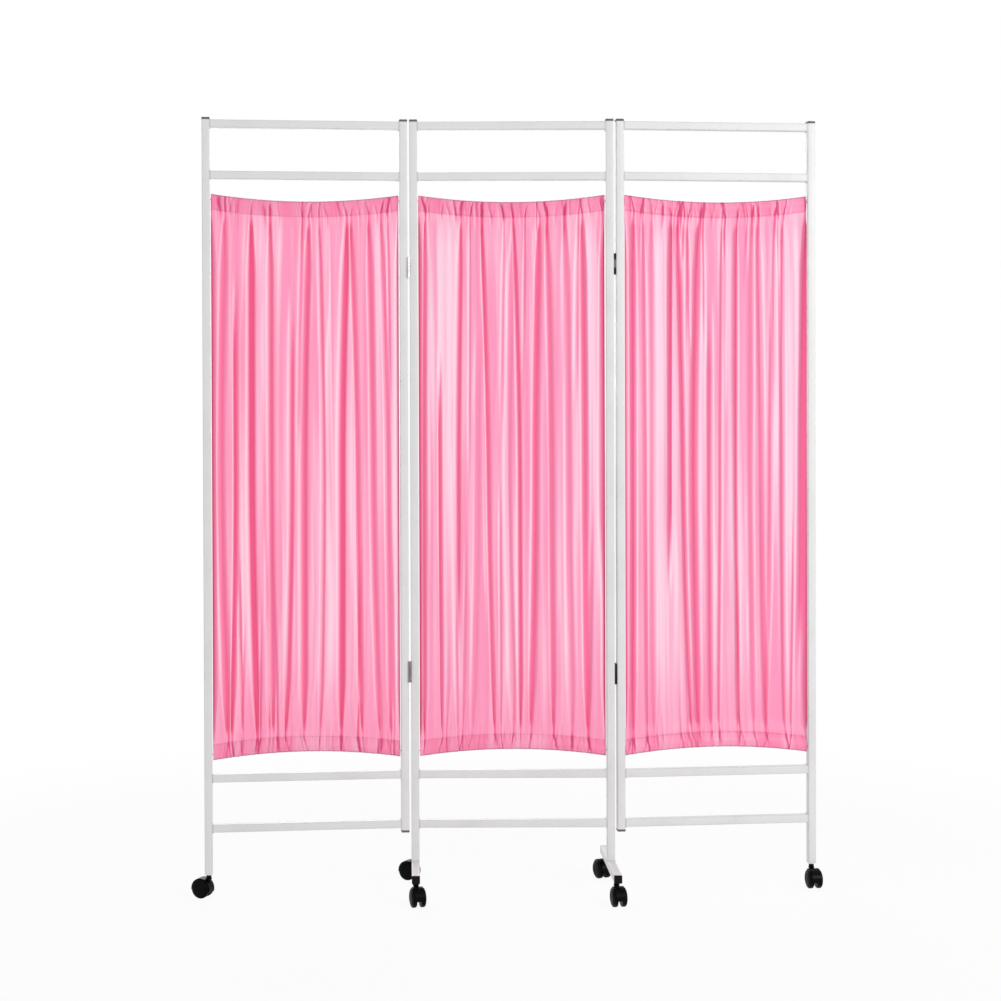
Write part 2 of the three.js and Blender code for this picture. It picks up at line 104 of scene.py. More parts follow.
class Nodes:
    # the nodes of one material or of the world
    def __init__(self, tree):
        self.tree = tree
        self.tree.nodes.clear()

    def node(self, kind, settings, sockets, output=0):
        made = self.tree.nodes.new("ShaderNode" + kind)
        for key, value in settings.items():
            setattr(made, key, value)
        for key, value in sockets.items():
            if isinstance(value, Signal):
                self.tree.links.new(value.socket, made.inputs[key])
            else:
                made.inputs[key].default_value = value
        return Signal(self, made.outputs[output]) if made.outputs else None

    def maths(self, operation, first, second):
        return self.node("Math", {"operation": operation}, {0: first, 1: second})

    def mix(self, factor, first, second):
        return self.node("Mix", {"data_type": "RGBA"}, {0: factor, 6: first, 7: second}, 2)

    def ramp(self, value, low, high):
        return self.node(
            "MapRange", {"interpolation_type": "SMOOTHSTEP"}, {0: value, 1: low, 2: high, 3: 0.0, 4: 1.0})

    def place(self):
        return self.node("TexCoord", {}, {}, "Object")

    def part(self, vector, axis):
        return self.node("SeparateXYZ", {}, {"Vector": vector}, axis)

    def stretched(self, vector, scale):
        return self.node("Mapping", {}, {"Vector": vector, "Scale": scale})

    def grain(self, vector, scale, detail=3.0, roughness=0.5):
        return self.node(
            "TexNoise", {}, {"Vector": vector, "Scale": scale, "Detail": detail, "Roughness": roughness})

    def attribute(self, name):
        return self.node("Attribute", {"attribute_name": name}, {}, "Fac")

    def bump(self, height, distance, strength):
        return self.node("Bump", {}, {"Height": height, "Distance": distance, "Strength": strength})

    def seen(self):
        # 1 for what the camera sees, also in a reflection or through glass
        seen = self.node("LightPath", {}, {}, "Is Camera Ray")
        for key in ("Is Glossy Ray", "Is Transmission Ray"):
            seen = self.maths("MAXIMUM", seen, self.node("LightPath", {}, {}, key))
        return seen

    def output(self, shader, kind="OutputMaterial"):
        self.node(kind, {}, {"Surface": shader})


def newFinish(name):
    material = bpy.data.materials.new(name)
    material.use_nodes = True
    return material, Nodes(material.node_tree)


def screenTone(red, green, blue):
    # a colour as read on a screen, 0 to 255, made linear
    def linear(level):
        share = level / 255
        return share / 12.92 if share <= 0.04045 else ((share + 0.055) / 1.055) ** 2.4
    return (linear(red), linear(green), linear(blue), 1.0)


# In the finishes a noise is (scale, detail, roughness), and edges say where a mask starts and is full.
coat = {
    "paint": screenTone(226, 226, 227), "weld": screenTone(205, 205, 204),
    "dusty": screenTone(214, 214, 213), "wearAndGlint": screenTone(176, 175, 172),
    "peel": (420.0, 2.0), "peelHeight": 0.00005, "peelStrength": 0.55,
    "patches": (9.0, 4.0, 0.6), "dustEdges": (0.42, 0.75), "dustShare": 0.5,
    "chips": (130.0, 4.0, 0.65), "chipEdges": (0.56, 0.72), "chipShare": 0.55, "cornerShare": 0.06,
    "roughness": 0.36, "patchRoughness": 0.14, "chipRoughness": 0.15,
}


def powderCoat(name, tint):
    # white powder coat: faint orange peel, faint dust, rubbed corners
    material, nodes = newFinish(name)
    place = nodes.place()
    peel = nodes.grain(place, *coat["peel"])
    patches = nodes.grain(place, *coat["patches"])
    chips = nodes.ramp(nodes.grain(place, *coat["chips"]), *coat["chipEdges"])
    corners = nodes.attribute("rubbedAndGlint")
    dusted = nodes.mix(nodes.ramp(patches, *coat["dustEdges"]) * coat["dustShare"], tint, coat["dusty"])
    chipped = corners * chips
    rubbedAndGlint = chipped * coat["chipShare"] + corners * coat["cornerShare"]
    shine = nodes.node("BsdfPrincipled", {}, {
        "Base Color": nodes.mix(rubbedAndGlint, dusted, coat["wearAndGlint"]),
        "Roughness": coat["roughness"] + patches * coat["patchRoughness"] + chipped * coat["chipRoughness"],
        "Normal": nodes.bump(peel, coat["peelHeight"], coat["peelStrength"]),
        "IOR": 1.5,
        "Coat Weight": 0.12,
        "Coat Roughness": 0.3,
    })
    nodes.output(shine)
    return material


moulding = {
    "spark": (900.0, 2.0), "sparkHeight": 0.00003, "sparkStrength": 0.5,
    "scuffs": (60.0, 5.0, 0.7), "scuffEdges": (0.55, 0.8), "scuffShare": 0.35, "scuffRoughness": 0.12,
    "dust": (220.0, 3.0), "dustEdges": (0.45, 0.8), "dustShare": 0.22, "dustRoughness": 0.2,
    "dustTop": 0.03,    # height over the floor
}


def mouldedPlastic(name, tint, scuffed, roughness, gloss):
    # black injection moulding: fine spark texture, scuffs, a little floor dust
    material, nodes = newFinish(name)
    place = nodes.place()
    spark = nodes.grain(place, *moulding["spark"])
    scuffs = nodes.ramp(nodes.grain(place, *moulding["scuffs"]), *moulding["scuffEdges"])
    nearFloor = 1.0 - nodes.ramp(nodes.part(place, "Z"), 0.0, moulding["dustTop"])
    dust = nearFloor * nodes.ramp(nodes.grain(place, *moulding["dust"]), *moulding["dustEdges"])
    marks = scuffs * moulding["scuffShare"] + dust * moulding["dustShare"]
    shine = nodes.node("BsdfPrincipled", {}, {
        "Base Color": nodes.mix(marks, screenTone(*tint), screenTone(*scuffed)),
        "Roughness": roughness + scuffs * moulding["scuffRoughness"] + dust * moulding["dustRoughness"],
        "Normal": nodes.bump(spark, moulding["sparkHeight"], moulding["sparkStrength"]),
        "IOR": 1.5,
        "Specular IOR Level": gloss,
    })
    nodes.output(shine)
    return material


steel = {
    "lines": (1.0, 3.0, 0.6), "lineHeight": 0.00002, "lineStrength": 0.5, "lineShare": 0.2,
    "clouds": (160.0, 4.0, 0.6), "cloudEdges": (0.4, 0.7), "cloudShare": 0.6, "cloudRoughness": 0.16,
    "glintEven": 0.75, "glintLines": 0.25,
    "alongHinge": (900, 900, 40), "alongWire": (40, 900, 900), "alongStem": (700, 700, 120),
}


def brushedSteel(name, bright, dull, roughness, brush, wearAndGlint=None):
    # plated or drawn steel: fine lines along one way, cloudy plating; an optional band at one height is
    # painted paler, a painted glint
    material, nodes = newFinish(name)
    place = nodes.place()
    lines = nodes.grain(nodes.stretched(place, brush), *steel["lines"])
    clouds = nodes.grain(place, *steel["clouds"])
    cloudy = nodes.ramp(clouds, *steel["cloudEdges"]) * steel["cloudShare"] + lines * steel["lineShare"]
    colour = nodes.mix(cloudy, screenTone(*bright), screenTone(*dull))
    # painted glint: a band at one height painted paler over the steel
    if wearAndGlint:
        away = abs(nodes.part(place, "Z") - wearAndGlint["height"])
        band = 1.0 - nodes.ramp(away, *wearAndGlint["edges"])
        rubbedAndGlint = band * (steel["glintEven"] + lines * steel["glintLines"])
        colour = nodes.mix(rubbedAndGlint, colour, screenTone(*wearAndGlint["tone"]))
    shine = nodes.node("BsdfPrincipled", {}, {
        "Base Color": colour,
        "Metallic": 1.0,
        "Roughness": roughness + clouds * steel["cloudRoughness"],
        "Normal": nodes.bump(lines, steel["lineHeight"], steel["lineStrength"]),
    })
    nodes.output(shine)
    return material


cloth = {
    # The palest colour is a painted highlight and the deepest a painted shade for the fold valleys; in the
    # casings the paler tone is a painted highlight and the pinched tone a painted shade in the gathers.
    "paintedHighlight": screenTone(255, 240, 250), "middle": screenTone(255, 164, 197), "deep": screenTone(242, 78, 134),
    "through": screenTone(255, 128, 174), "casingTone": screenTone(255, 136, 176),
    "casingHighlight": screenTone(255, 178, 208), "pinchShade": screenTone(220, 66, 120),
    "thread": screenTone(226, 96, 142), "sheenTone": screenTone(255, 214, 228),
    # noises along the threads: scale across, scale along, detail
    "yarn": (1500.0, 30.0, 2.0), "weft": (30.0, 1500.0, 2.0), "slubs": (240.0, 3.0, 3.0),
    "streaks": (80.0, 1.7, 1.0), "wide": (26.0, 1.1, 1.0), "zones": (8.5, 0.9, 0.0),
    "yarnRelief": 0.6, "weftRelief": 0.4, "yarnHeight": 0.00009, "yarnStrength": 0.6,
    # how much each noise adds to the painted highlight, and how much painted shade darkens the cloth next to
    # the casings
    "litSlubs": 0.35, "litZones": 1.3, "litStreaks": 1.1, "litEdges": (1.48, 2.5),
    "topReach": 0.1, "topShade": 0.34, "lowReach": 0.24, "lowShade": 0.66,
    "deepSlubs": 0.12, "deepEdges": (0.1, 0.98),
    "sleeveTurned": 0.9, "sleeveSlubs": 0.4, "sleeveWide": 1.5, "sleeveEdges": (0.7, 1.5),
    "pinchEdges": (0.05, 0.8), "stitchPitch": 0.0032, "stitchEdges": (0.0004, 0.0011), "hemFromEdge": 0.0015,
    "dashEdges": (-0.7, 0.1), "seamShare": 0.1, "dashShare": 0.42, "dashRise": 3.0, "seamSink": 4.0,
    "roughness": 0.4, "slubRoughness": 0.16, "seeThrough": 0.3,
}


def satinCloth(bodyTop, bodyBottom, length):
    # pink satin: long yarn streaks, painted shade on the sides and in the valleys of the folds, painted
    # highlights where folds turn to the key lamp and in sheen patches, painted shade next to the casings,
    # sewn lines at the casings
    material, nodes = newFinish("curtainSatin")
    flat = nodes.node("UVMap", {"uv_map": "cloth"}, {})
    across = nodes.part(flat, "X")
    along = nodes.part(flat, "Y")

    def threads(key):
        scaleAcross, scaleAlong, detail = cloth[key]
        return nodes.grain(nodes.stretched(flat, (scaleAcross, scaleAlong, 1)), 1.0, detail)

    slubs, wide = threads("slubs"), threads("wide")
    deep = nodes.attribute("foldDeep")
    turned = nodes.attribute("foldTurn")
    casing = nodes.attribute("casing")

    # painted highlight: paler where a fold's side turns towards the key lamp, and in noise patches and
    # streaks of painted sheen, with real yarn slubs
    paintedHighlight = turned + wide + slubs * cloth["litSlubs"]
    paintedHighlight = paintedHighlight + threads("zones") * cloth["litZones"] + threads("streaks") * cloth["litStreaks"]
    # painted shade: darker for a short reach below the top seam and a longer reach above the bottom seam
    nearTop = 1.0 - nodes.ramp(along, bodyTop, bodyTop + cloth["topReach"])
    nearLow = nodes.ramp(along, bodyBottom - cloth["lowReach"], bodyBottom)
    paintedLight = nodes.ramp(paintedHighlight, *cloth["litEdges"])
    paintedLight = paintedLight * (1.0 - nearTop * cloth["topShade"] - nearLow * cloth["lowShade"])
    ribbon = nodes.mix(paintedLight, cloth["middle"], cloth["paintedHighlight"])
    # painted shade: deep pink down the sides and in the valleys of the folds
    valleyShade = nodes.ramp(deep + slubs * cloth["deepSlubs"], *cloth["deepEdges"])
    folded = nodes.mix(valleyShade, ribbon, cloth["deep"])

    # painted highlight on the casings, where the cloth turns to the key lamp and in sheen noise
    sleeveHighlight = turned * cloth["sleeveTurned"] + slubs * cloth["sleeveSlubs"] + wide * cloth["sleeveWide"]
    sleeve = nodes.mix(nodes.ramp(sleeveHighlight, *cloth["sleeveEdges"]), cloth["casingTone"], cloth["casingHighlight"])
    # painted shade in the pinched gathers of the casings
    sleeve = nodes.mix(nodes.ramp(deep, *cloth["pinchEdges"]), sleeve, cloth["pinchShade"])
    doubled = nodes.mix(casing, folded, sleeve)

    sewn = None
    for line in (bodyTop, bodyBottom, cloth["hemFromEdge"], length - cloth["hemFromEdge"]):
        here = 1.0 - nodes.ramp(abs(along - line), *cloth["stitchEdges"])
        sewn = here if sewn is None else sewn + here
    wave = nodes.maths("SINE", across * (2 * math.pi / cloth["stitchPitch"]), 0.0)
    dash = nodes.ramp(wave, *cloth["dashEdges"])
    colour = nodes.mix(sewn * (cloth["seamShare"] + dash * cloth["dashShare"]), doubled, cloth["thread"])
    relief = threads("yarn") * cloth["yarnRelief"] + threads("weft") * cloth["weftRelief"]
    relief = relief + sewn * (dash * cloth["dashRise"] - cloth["seamSink"])
    normal = nodes.bump(relief, cloth["yarnHeight"], cloth["yarnStrength"])
    shine = nodes.node("BsdfPrincipled", {}, {
        "Base Color": colour,
        "Roughness": cloth["roughness"] + slubs * cloth["slubRoughness"],
        "Normal": normal,
        "IOR": 1.45,
        "Sheen Weight": 0.25,
        "Sheen Roughness": 0.4,
        "Sheen Tint": cloth["sheenTone"],
    })
    # light comes through the single cloth, and not through the casings
    glow = nodes.node("BsdfTranslucent", {}, {"Color": cloth["through"], "Normal": normal})
    nodes.output(nodes.node("MixShader", {}, {0: cloth["seeThrough"] * (1.0 - casing), 1: shine, 2: glow}))
    return material


framePaint = powderCoat("framePaint", coat["paint"])
weldPaint = powderCoat("weldPaint", coat["weld"])
capPlastic = mouldedPlastic("capPlastic", (104, 104, 106), (138, 138, 140), roughness=0.5, gloss=0.2)
plugPlastic = mouldedPlastic("plugPlastic", (9, 9, 10), (30, 30, 32), roughness=0.46, gloss=0.12)
housingPlastic = mouldedPlastic("housingPlastic", (3, 3, 4), (22, 22, 24), roughness=0.3, gloss=0.07)
wheelNylon = mouldedPlastic("wheelNylon", (3, 3, 4), (24, 24, 26), roughness=0.34, gloss=0.06)
# one hinge steel in lit and shaded copies: pale and grey on the left, where the barrels stand lit in front of
# the gap, dark on the right, where they sit in shade behind it; paler on the upper left than the lower left
hingeLitPale = brushedSteel("hingeLitPale", (232, 230, 232), (208, 206, 208), 0.4, steel["alongHinge"])
hingeLitGrey = brushedSteel("hingeLitGrey", (142, 132, 138), (102, 94, 98), 0.4, steel["alongHinge"])
hingeShadedDark = brushedSteel("hingeShadedDark", (70, 70, 68), (44, 44, 42), 0.42, steel["alongHinge"])
# painted glint: shaded dark steel with a band painted paler at the height of the upper right hinge's middle
# knuckle
hingeShadedGlint = brushedSteel(
    "hingeShadedGlint", (62, 62, 60), (36, 36, 34), 0.42, steel["alongHinge"],
    wearAndGlint={"height": 1.51, "edges": (0.008, 0.012), "tone": (148, 148, 140)})
wireSteel = brushedSteel("wireSteel", (196, 196, 196), (150, 150, 152), 0.3, steel["alongWire"])
stemSteel = brushedSteel("stemSteel", (198, 198, 198), (140, 140, 142), 0.3, steel["alongStem"])
print("finishes made")

panel = {
    "half": 0.2445, "tube": 0.019, "corner": 0.0021, "cornerSteps": 4,
    "gap": 0.0045, "fold": 5.3, "pinOffset": 0.0122,
    "rails": (1.851, 1.7296, 0.2955, 0.1763),     # their tops
    "shortBottom": 0.152, "footHalf": 0.14, "casterTop": 0.0575, "casterFromEnd": 0.029,
}
tubeHalf = panel["tube"] / 2
postCentre = panel["half"] - tubeHalf
postInner = panel["half"] - panel["tube"]
footTop = panel["casterTop"] + panel["tube"]
hingeX = panel["half"] + panel["gap"] / 2

# the centre panel stands in the middle of its frame's box, and the others turn about their hinge pins
low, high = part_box("centre_frame")
centrePlace = moveBy((low.x + high.x) / 2, (low.y + high.y) / 2, 0)
ladderInWing = moveBy(-hingeX, panel["pinOffset"], 0)
foldTurn = turnBy(panel["fold"], "Z")
hingePlace = {
    "left": centrePlace @ moveBy(-hingeX, -panel["pinOffset"], 0),
    "right": centrePlace @ moveBy(hingeX, panel["pinOffset"], 0) @ turnBy(180, "Z"),
}
panelPlace = {
    "centre": centrePlace,
    "left": hingePlace["left"] @ foldTurn @ ladderInWing,
    "right": hingePlace["right"] @ foldTurn @ ladderInWing,
}
panelBody = {"centre": "centre_panel", "left": "left_wing", "right": "right_wing"}
sides = (("left", -1), ("right", 1))
footEnds = (("front", -1), ("rear", 1))


def addBlock(bm, lowest, highest):
    lowest, highest = Vector(lowest), Vector(highest)
    size = highest - lowest
    place = Matrix.Translation((lowest + highest) / 2) @ Matrix.Diagonal((*size, 1))
    return bmesh.ops.create_cube(bm, size=1, matrix=place)["verts"]


def roundEdges(bm, edges, radius, steps):
    return bmesh.ops.bevel(
        bm, geom=list(edges), offset=radius, offset_type="OFFSET", segments=steps, profile=0.5,
        affect="EDGES", material=-1, clamp_overlap=True)


def edgesOf(verts):
    return {edge for vert in verts for edge in vert.link_edges}


def edgesAlong(verts, axis):
    # a block's edges that run along one axis, 0 to 2
    tiny = 1e-6
    return [e for e in edgesOf(verts) if abs((e.verts[0].co - e.verts[1].co)[axis]) > tiny]


def facesOf(verts):
    return list({face for vert in verts for face in vert.link_faces})


def addTube(bm, lowest, highest, axis, rubbedAndGlint):
    # square tube with rounded long edges; its corner strips are marked for wear
    verts = addBlock(bm, lowest, highest)
    strips = roundEdges(bm, edgesAlong(verts, axis), panel["corner"], panel["cornerSteps"])["faces"]
    for face in strips:
        for loop in face.loops:
            loop[rubbedAndGlint] = 1.0


bead = {
    "reach": 0.0024, "side": 0.0014, "proud": 0.0003, "into": 0.0004, "overTop": 0.0001,
    "round": 0.0006, "roundSteps": 3, "cuts": 3, "ripple": 0.0003, "rippleScale": 420,
    "postSeed": 90, "sideSeed": 7, "railSeed": 31,
}


def addBead(bm, lowest, highest, seed):
    # weld bead: a soft, slightly uneven collar
    collar = bmesh.new()
    collar.loops.layers.float.new("rubbedAndGlint")
    addBlock(collar, lowest, highest)
    roundEdges(collar, collar.edges, bead["round"], bead["roundSteps"])
    bmesh.ops.subdivide_edges(collar, edges=collar.edges[:], cuts=bead["cuts"], use_grid_fill=True)
    middle = (Vector(lowest) + Vector(highest)) / 2
    for vert in collar.verts:
        ripple = noise.noise(vert.co * bead["rippleScale"] + Vector((seed, 0, 0)))
        vert.co += (vert.co - middle).normalized() * bead["ripple"] * ripple
    for face in collar.faces:
        face.material_index = 1
    mesh = bpy.data.meshes.new("bead")
    collar.to_mesh(mesh)
    collar.free()
    bm.from_mesh(mesh)
    bpy.data.meshes.remove(mesh)


def addTurned(bm, profile, steps, place=Matrix()):
    # spins (radius, height) points about Z
    verts = [bm.verts.new((radius, 0, height)) for radius, height in profile]
    edges = [bm.edges.new(pair) for pair in zip(verts, verts[1:])]
    bmesh.ops.spin(
        bm, geom=verts + edges, cent=(0, 0, 0), axis=(0, 0, 1), angle=2 * math.pi, steps=steps,
        use_merge=True)
    every = collectIsland(verts)
    bmesh.ops.remove_doubles(bm, verts=every, dist=1e-7)
    every = [v for v in every if v.is_valid]
    bmesh.ops.recalc_face_normals(bm, faces=facesOf(every))
    bmesh.ops.transform(bm, matrix=place, verts=every)


def collectIsland(starts):
    seen = set(starts)
    waiting = list(starts)
    while waiting:
        for edge in waiting.pop().link_edges:
            for vert in edge.verts:
                if vert not in seen:
                    seen.add(vert)
                    waiting.append(vert)
    return list(seen)


def finishPiece(name, bm, finishes, body, nodes, sharpAngle=32):
    mesh = bpy.data.meshes.new(name)
    bm.to_mesh(mesh)
    bm.free()
    for finish in finishes:
        mesh.materials.append(finish)
    mesh.shade_smooth()
    mesh.set_sharp_from_angle(angle=math.radians(sharpAngle))
    piece = bpy.data.objects.new(name, mesh)
    bpy.context.scene.collection.objects.link(piece)
    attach(piece, body)
    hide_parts(*nodes)
    return piece


def ladder(name, bottoms):
    # a panel's frame: two posts, four rails, and the weld beads where they meet
    bm = bmesh.new()
    rubbedAndGlint = bm.loops.layers.float.new("rubbedAndGlint")
    top = panel["rails"][0]
    for sign, bottom in zip((-1, 1), bottoms):
        x = sign * postCentre
        addTube(bm, (x - tubeHalf, -tubeHalf, bottom), (x + tubeHalf, tubeHalf, top), 2, rubbedAndGlint)
        if bottom == footTop:
            addBead(
                bm,
                (x - tubeHalf - bead["proud"], -tubeHalf - bead["side"], bottom - bead["into"]),
                (x + tubeHalf + bead["proud"], tubeHalf + bead["side"], bottom + bead["reach"]),
                seed=x * bead["postSeed"])
    for railTop in panel["rails"]:
        railBottom = railTop - panel["tube"]
        addTube(bm, (-postInner, -tubeHalf, railBottom), (postInner, tubeHalf, railTop), 0, rubbedAndGlint)
        beadTop = min(railTop + bead["side"], top + bead["overTop"])
        for sign in (-1, 1):
            ends = sorted((sign * (postInner - bead["reach"]), sign * (postInner + bead["into"])))
            addBead(
                bm,
                (ends[0], -tubeHalf - bead["proud"], railBottom - bead["side"]),
                (ends[1], tubeHalf + bead["proud"], beadTop),
                seed=sign * bead["sideSeed"] + railTop * bead["railSeed"])
    bmesh.ops.transform(bm, matrix=panelPlace[name], verts=bm.verts)
    finishPiece(
        name + "Ladder", bm, [framePaint, weldPaint], panelBody[name], [name + "_frame"])


ladder("centre", (footTop, footTop))
for side, _ in sides:
    ladder(side, (panel["casterTop"], panel["shortBottom"]))

for side, sign in sides:
    bm = bmesh.new()
    x = sign * postCentre
    addTube(
        bm, (x - tubeHalf, -panel["footHalf"], panel["casterTop"]),
        (x + tubeHalf, panel["footHalf"], footTop), 1, bm.loops.layers.float.new("rubbedAndGlint"))
    bmesh.ops.transform(bm, matrix=centrePlace, verts=bm.verts)
    finishPiece(side + "Foot", bm, [framePaint], "centre_panel", ["centre_foot_" + side])
print("frames made")

cap = {
    "half": 0.0098, "side": 0.0032, "shoulder": 0.0011, "rise": 0.0019, "crown": 0.0033, "top": 0.00062,
    "seat": 0.00025, "corner": 0.0023, "cornerSteps": 4, "rim": 0.0005, "rimSteps": 3, "sharpAngle": 50,
}
plug = {
    **cap, "half": 0.0095, "side": 0.0018, "shoulder": 0.0007, "rise": 0.0006, "crown": 0, "corner": 0.0019}


def addCap(bm, size, place):
    # square lid with a raised shoulder, and a low crown on the post caps
    verts = addBlock(bm, (-size["half"], -size["half"], 0), (size["half"], size["half"], size["side"]))
    roundEdges(bm, edgesAlong(verts, 2), size["corner"], size["cornerSteps"])
    lid = max(bm.faces, key=lambda face: (round(face.calc_center_median().z, 7), face.calc_area()))
    bmesh.ops.inset_region(bm, faces=[lid], thickness=size["shoulder"], depth=size["rise"])
    rim = list(lid.edges)
    if size["crown"]:
        bmesh.ops.inset_region(bm, faces=[lid], thickness=size["crown"], depth=size["top"])
    roundEdges(bm, rim, size["rim"], size["rimSteps"])
    bmesh.ops.transform(bm, matrix=place, verts=bm.verts)


for name, bodyName in panelBody.items():
    capTop = panel["rails"][0] + cap["seat"]
    capLow = panel["shortBottom"] - cap["seat"]
    spots = {"left": moveBy(-postCentre, 0, capTop), "right": moveBy(postCentre, 0, capTop)}
    if name != "centre":
        spots["low"] = moveBy(postCentre, 0, capLow) @ turnBy(180, "X")
    for end, spot in spots.items():
        bm = bmesh.new()
        addCap(bm, cap, panelPlace[name] @ spot)
        finishPiece(
            name + "Cap" + end.capitalize(), bm, [capPlastic], bodyName, [name + "_cap_" + end],
            cap["sharpAngle"])

for side, sign in sides:
    for end, way in footEnds:
        bm = bmesh.new()
        y = way * (panel["footHalf"] + plug["seat"])
        spot = moveBy(sign * postCentre, y, panel["casterTop"] + tubeHalf)
        addCap(bm, plug, centrePlace @ spot @ turnBy(-90 * way, "X"))
        finishPiece(
            side + "Plug" + end.capitalize(), bm, [plugPlastic], "centre_panel",
            ["foot_plug_" + side + "_" + end], plug["sharpAngle"])
print("caps made")

hinge = {
    "height": 0.05, "leaf": 0.0018, "depth": 0.017, "tubeWall": 0.001, "plateRound": 0.0003,
    "barrel": 0.0029, "fromPost": 0.0027, "barrelEdge": 0.0004, "edgeIn": 0.1, "edgeUp": 0.4,
    "barrelSteps": 32, "knuckleGap": 0.0003, "knuckleRound": 0.00025, "intoPlate": 0.0004, "roundSteps": 2,
    "pin": 0.0014, "pinTip": 0.7, "pinEnd": 0.0002, "pinSteps": 24,
    "heights": {"left": (1.502, 0.533), "right": (1.51, 0.525)},
    # painted light: lit copies of the hinge steel on the left, shaded ones on the right
    "finish": {"left": (hingeLitPale, hingeLitGrey), "right": (hingeShadedGlint, hingeShadedDark)},
}


def addHingeLeaf(bm, hasPin, place):
    # a plate in the gap between two posts, and its knuckles about Z
    half = hinge["height"] / 2
    third = hinge["height"] / 3
    inner = (panel["gap"] - 2 * hinge["leaf"]) / 4
    outer = inner + hinge["leaf"]
    plateStart = hinge["fromPost"] + hinge["tubeWall"]
    plateEnd = hinge["fromPost"] + hinge["depth"]
    verts = addBlock(bm, (inner, plateStart, -half), (outer, plateEnd, half))
    roundEdges(bm, edgesOf(verts), hinge["plateRound"], hinge["roundSteps"])
    gap = hinge["knuckleGap"] / 2
    if hasPin:
        spans = [(-half, -third / 2 - gap), (third / 2 + gap, half)]
    else:
        spans = [(-third / 2 + gap, third / 2 - gap)]
    radius = hinge["barrel"]
    edge = hinge["barrelEdge"]
    inset, rise = hinge["edgeIn"] * edge, hinge["edgeUp"] * edge
    for lowZ, highZ in spans:
        verts = addBlock(bm, (inner, 0, lowZ), (outer, plateStart + hinge["intoPlate"], highZ))
        roundEdges(bm, edgesOf(verts), hinge["knuckleRound"], hinge["roundSteps"])
        addTurned(bm, [
            (0, lowZ), (radius - edge, lowZ), (radius - inset, lowZ + rise), (radius, lowZ + edge),
            (radius, highZ - edge), (radius - inset, highZ - rise), (radius - edge, highZ), (0, highZ),
        ], hinge["barrelSteps"])
    if hasPin:
        for sign in (-1, 1):
            # the peened ends of the pin stay inside the knuckles' height
            base = sign * (half - hinge["pinEnd"])
            tip = sign * half
            addTurned(bm, [
                (0, base), (hinge["pin"], base), (hinge["pinTip"] * hinge["pin"], tip), (0, tip),
            ], hinge["pinSteps"])
    bmesh.ops.transform(bm, matrix=place, verts=bm.verts)


for side, _ in sides:
    for level, z, finish in zip(("upper", "lower"), hinge["heights"][side], hinge["finish"][side]):
        lift = moveBy(0, 0, z)
        flip = turnBy(180, "X") @ turnBy(180, "Z")
        leaves = (
            ("pin", "centre_panel", hingePlace[side] @ lift),
            ("wing", side + "_wing", hingePlace[side] @ foldTurn @ lift @ flip),
        )
        for leaf, bodyName, place in leaves:
            bm = bmesh.new()
            addHingeLeaf(bm, leaf == "pin", place)
            finishPiece(
                side + level.capitalize() + leaf.capitalize() + "Leaf", bm, [finish], bodyName,
                ["hinge_" + side + "_" + level + "_" + leaf + "_leaf"])
print("hinges made")

caster = {
    "axleHeight": 0.0225, "trail": 0.017, "runGap": 0.0003,
    # the way in which each caster points, in degrees about Z
    "points": {
        "left_front": -76, "left_rear": 150, "right_front": -81, "right_rear": 113, "left": 156, "right": -83,
    },
    "hoodInner": 0.0235, "hoodOuter": 0.025, "hoodHalf": 0.012,
    "hoodStart": -8, "hoodEnd": 198, "hoodSteps": 44,
    # the hood's cross-section, as shares of its half width and half thickness
    "hoodSection": (
        (-1, 0.55), (-0.97, 1), (0.97, 1), (1, 0.55), (1, -0.55), (0.97, -1), (-0.97, -1), (-1, -0.55)),
    "webHalf": 0.0053, "webRadius": 0.0242, "webSteps": 24,
    "webLow": 0.0108, "webLowAngles": (222, 245, 270, 295, 318),
    # turned profiles: radius, height
    "wheel": (
        (0, 0.0094), (0.0032, 0.0094), (0.0032, 0.0006), (0.0038, 0), (0.0208, 0), (0.0217, 0.0003),
        (0.0222, 0.0009), (0.0225, 0.0019), (0.0225, 0.007), (0.0223, 0.0081), (0.0216, 0.0091),
        (0.0206, 0.0099), (0.0193, 0.0105), (0.0184, 0.0107), (0.0179, 0.0105), (0.0176, 0.0101),
        (0.0171, 0.0101), (0.0168, 0.0106), (0.0163, 0.0112), (0.0146, 0.0118), (0.0124, 0.0122),
        (0.0111, 0.0124), (0.0104, 0.0123), (0.0099, 0.0118), (0.0068, 0.0118), (0.0063, 0.0121),
        (0.0056, 0.0123), (0, 0.0124)),
    "stem": (
        (0, 0.03505), (0.0038, 0.03505), (0.004, 0.0353), (0.004, 0.0368), (0.0034, 0.03705),
        (0.0034, 0.05505), (0.006, 0.05505), (0.0064, 0.0554), (0.0064, 0.0569), (0.0061, 0.05725),
        (0.004, 0.05725), (0.004, 0.0645), (0, 0.0645)),
    "neck": (
        (0, 0.0342), (0.0052, 0.0342), (0.0053, 0.0425), (0.006, 0.0437), (0.0072, 0.0466), (0.0073, 0.0478),
        (0.0068, 0.0486), (0.006, 0.0494), (0.006, 0.0542), (0.0057, 0.0548), (0, 0.0548)),
    "boss": ((0, 0), (0.0046, 0), (0.0046, 0.0054), (0.003, 0.0058), (0.003, 0.0142), (0, 0.0142)),
    "wheelSteps": 56, "stemSteps": 32, "bossSteps": 24,
}


